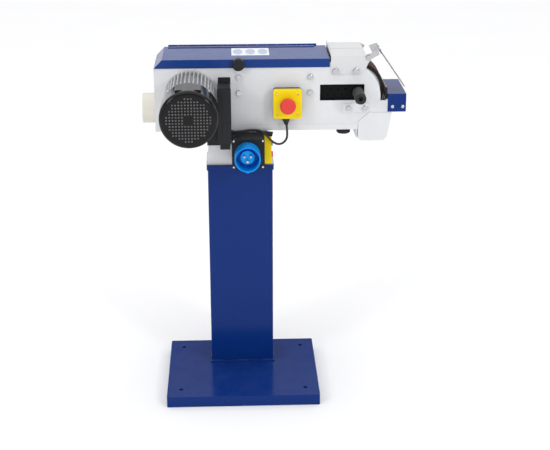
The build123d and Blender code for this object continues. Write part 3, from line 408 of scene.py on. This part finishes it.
def bead(bm, start, end, width, seed):
    """One stitch of weld: a flattened tube that swells and ripples along its length and tapers at both ends."""
    start, end = Vector(start), Vector(end)
    along = (end - start).normalized()
    side = Vector((0, 0, 1)).cross(along)
    rings, around, flatness, thinnest = 44, 14, 0.75, 0.0002
    loops = []
    for i in range(rings + 1):
        t = i / rings
        taper = math.sqrt(max(0.0, 1 - (2 * t - 1) ** 8))
        ripple = 1 + 0.05 * math.sin(t * 46 + seed) + 0.06 * math.sin(t * 17 + 2 * seed)
        r = max(thinnest, width / 2 * taper * ripple)
        centre = start.lerp(end, t)
        loops.append([bm.verts.new(centre + side * (r * math.cos(a)) + Vector((0, 0, flatness * r * math.sin(a))))
                      for a in (2 * math.pi * k / around for k in range(around))])
    for lower, upper in zip(loops, loops[1:]):
        for k in range(around):
            bm.faces.new((lower[k], lower[(k + 1) % around], upper[(k + 1) % around], upper[k]))
    bm.faces.new(loops[0])
    bm.faces.new(loops[-1])


WELD_WIDTH, WELD_RISE = 0.0075, 0.0032
WELD_INSET_X, WELD_INSET_Y = 0.004, 0.0048
FRONT_STITCHES = (0.0, 0.17), (0.42, 0.60), (0.83, 1.0)
SIDE_STITCHES = (0.12, 0.34), (0.64, 0.88)


def foot_welds(bm):
    """Stitches along the joint of the column and its foot, front, back and sides."""
    low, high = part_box("column")
    z = low.z + WELD_RISE
    x0, x1 = low.x + WELD_INSET_X, high.x - WELD_INSET_X
    y0, y1 = low.y + WELD_INSET_Y, high.y - WELD_INSET_Y
    seed = 0.0
    for a, b in FRONT_STITCHES:
        for y in (y0, y1):
            seed += 1.3
            bead(bm, (x0 + (x1 - x0) * a, y, z), (x0 + (x1 - x0) * b, y, z), WELD_WIDTH, seed)
    for a, b in SIDE_STITCHES:
        for x in (x0, x1):
            seed += 1.7
            bead(bm, (x, y0 + (y1 - y0) * a, z), (x, y0 + (y1 - y0) * b, z), WELD_WIDTH, seed)


add_piece("foot_welds", foot_welds, "machine", "blue_paint")


FIELDS, FIELD_SIDES, FIELD_SUNK, FIELD_PROUD = 3, 48, 0.0001, 0.00012


def label_dots(bm):
    """Plain oval colour fields on the hood label, with no lettering or symbol."""
    low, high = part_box("hood_label")
    for cell in range(FIELDS):
        cx = low.x + (high.x - low.x) * (cell + 0.5) / FIELDS
        cy = (low.y + high.y) / 2
        rx, ry = (high.x - low.x) * 0.13, (high.y - low.y) * 0.36
        angles = (2 * math.pi * k / FIELD_SIDES for k in range(FIELD_SIDES))
        ring = [(cx + rx * math.cos(a), cy + ry * math.sin(a)) for a in angles]
        base = [bm.verts.new((x, y, high.z - FIELD_SUNK)) for x, y in ring]
        top = [bm.verts.new((x, y, high.z + FIELD_PROUD)) for x, y in ring]
        bm.faces.new(base)
        bm.faces.new(top)
        for k in range(FIELD_SIDES):
            after = (k + 1) % FIELD_SIDES
            bm.faces.new((base[k], base[after], top[after], top[k]))


dots = add_piece("label_dots", label_dots, "hood_lid", "label_film", smooth=False)
dress(dots, printed_film("label_dots", (0.42, 0.50, 0.62)))


SCREEN_RADIUS, SCREEN_PITCH, SCREEN_RIDGE = 0.0605, 0.0012, 0.00025
SCREEN_FRONT, SCREEN_BACK = 0.0019, 0.0027    # behind the cowl's outer face


def vent_screen(bm):
    """Grey woven disc just inside the fan cowl's vents, showing through them as paler dots: a thin disc with its
    weave as small ridges.
    """
    low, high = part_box("fan_cowl")
    cowl_radius = (high.x - low.x) / 2
    cx, cz = low.x + cowl_radius, low.z + cowl_radius
    front, back, radius, pitch = low.y + SCREEN_FRONT, low.y + SCREEN_BACK, SCREEN_RADIUS, SCREEN_PITCH
    count = int(radius / pitch)
    grid = {}
    for side, y in (("front", front), ("back", back)):
        for i in range(-count, count + 1):
            for k in range(-count, count + 1):
                if math.hypot(i, k) * pitch <= radius:
                    lift = SCREEN_RIDGE * ((i + k) % 2) if side == "front" else 0.0
                    grid[side, i, k] = bm.verts.new((cx + i * pitch, y + lift, cz + k * pitch))
    cells = [(i, k) for side, i, k in grid if side == "front"
             and all((side, i + a, k + b) in grid for a, b in ((1, 0), (1, 1), (0, 1)))]
    for side in ("front", "back"):
        for i, k in cells:
            bm.faces.new([grid[side, i + a, k + b] for a, b in ((0, 0), (1, 0), (1, 1), (0, 1))])
    rim = [edge for edge in bm.edges if len(edge.link_faces) == 1]
    partner = {grid["front", i, k]: grid["back", i, k] for side, i, k in grid if side == "front"}
    for edge in rim:
        a, b = edge.verts
        if a in partner:
            bm.faces.new((a, b, partner[b], partner[a]))
    bmesh.ops.delete(bm, geom=[vert for vert in bm.verts if not vert.link_faces], context="VERTS")


screen = add_piece("vent_screen", vent_screen, "machine", "cream_plastic", smooth=False)
dress(screen, coated("screen_weave", (0.22, 0.22, 0.22), 0.6, peel=900.0, mottle=0.35, worn=(0.7, 0.7, 0.7)))


STRIP_WIDTH, STRIP_DEPTH, STRIP_GAP, STRIP_SETBACK, STRIP_LIFT = 0.007, 0.010, 0.0007, 0.0064, 0.0005
STRIP_STEPS, STEPS_PER_RIB, RIB_DEPTH, STRIP_CHAMFER = 68, 4, 0.0009, 0.0016


def rest_strip(bm):
    """Ribbed black strip in the gap between the belt and the tool guard's open end: a dark piece that stands in
    for the shadow in that gap.
    """
    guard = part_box("tool_guard")[0]
    rest_low, rest_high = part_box("work_rest")
    x1 = guard.x - STRIP_GAP
    x0 = x1 - STRIP_WIDTH
    y0 = guard.y + STRIP_SETBACK
    y1 = y0 + STRIP_DEPTH
    z0, z1 = rest_low.z + STRIP_LIFT, rest_high.z
    loops = []
    for i in range(STRIP_STEPS + 1):
        z = z0 + (z1 - z0) * i / STRIP_STEPS
        rib = RIB_DEPTH * (0.5 - 0.5 * math.cos(2 * math.pi * i / STEPS_PER_RIB))
        inset = rib if 0 < i < STRIP_STEPS else STRIP_CHAMFER
        outline = ((x0 + inset, y0 + inset), (x1 - inset, y0 + inset), (x1, y1), (x0, y1))
        loops.append([bm.verts.new((x, y, z)) for x, y in outline])
    for lower, upper in zip(loops, loops[1:]):
        for k in range(4):
            bm.faces.new((lower[k], lower[(k + 1) % 4], upper[(k + 1) % 4], upper[k]))
    bm.faces.new(loops[0])
    bm.faces.new(loops[-1])


# The strip is dressed black as painted shade for the gap between belt and guard.
add_piece("rest_strip", rest_strip, "machine", "black_rubber", smooth=False)


# ---- floor and light ----
FLOOR_HALF = 14.0
WORLD_BANDS = ((0.24, 1.0), (0.38, 0.15), (0.62, 0.20), (0.80, 0.95))    # height on the ramp, glow


def add_floor():
    mesh = bpy.data.meshes.new("floor")
    half = FLOOR_HALF
    mesh.from_pydata([(-half, -half, 0), (half, -half, 0), (half, half, 0), (-half, half, 0)], [], [(0, 1, 2, 3)])
    floor = bpy.data.objects.new("floor", mesh)
    scene.collection.objects.link(floor)
    f = Finish("floor", Specular_IOR_Level=0.1)
    f.set(Base_Color=f.mix(f.noise(2.0, 4.0), (0.90, 0.90, 0.90), (0.93, 0.93, 0.93)), Roughness=0.8)
    dress(floor, f.material)


def add_area(name, place, target, size, power):
    light = bpy.data.lights.new(name, "AREA")
    light.shape = "RECTANGLE"
    light.size, light.size_y = size
    light.energy = power
    lamp = bpy.data.objects.new(name, light)
    scene.collection.objects.link(lamp)
    aim = (Vector(target) - Vector(place)).to_track_quat("-Z", "Y")
    lamp.matrix_world = Matrix.Translation(place) @ aim.to_matrix().to_4x4()


def add_world():
    """Studio glow that changes with height: bright below and above, dim round the horizon."""
    world = bpy.data.worlds.new("studio")
    scene.world = world
    world.use_nodes = True
    tree = world.node_tree
    tree.nodes.clear()
    output = tree.nodes.new("ShaderNodeOutputWorld")
    background = tree.nodes.new("ShaderNodeBackground")
    place = tree.nodes.new("ShaderNodeTexCoord")
    split = tree.nodes.new("ShaderNodeSeparateXYZ")
    ramp = tree.nodes.new("ShaderNodeValToRGB")
    tree.links.new(place.outputs["Generated"], split.inputs[0])
    tree.links.new(split.outputs["Z"], ramp.inputs["Fac"])
    tree.links.new(ramp.outputs["Color"], background.inputs["Color"])
    tree.links.new(background.outputs[0], output.inputs["Surface"])
    stops = ramp.color_ramp.elements
    stops.remove(stops[1])
    for band, (height, glow) in enumerate(WORLD_BANDS):
        element = stops.new(height) if band else stops[0]
        element.position = height
        element.color = (glow, glow, glow * 1.02, 1)
    background.inputs["Strength"].default_value = 1.0


add_floor()
add_world()
add_area("overhead", (0.0, 4.0, 7.0), (0.0, 4.0, 0.0), (20.0, 20.0), 760.0)
add_area("key", (2.4, -3.2, 2.5), (0.0, 0.0, 0.7), (0.6, 0.6), 34.0)
add_area("fill", (-2.8, -3.0, 2.6), (0.0, 0.0, 0.6), (0.9, 0.9), 36.0)
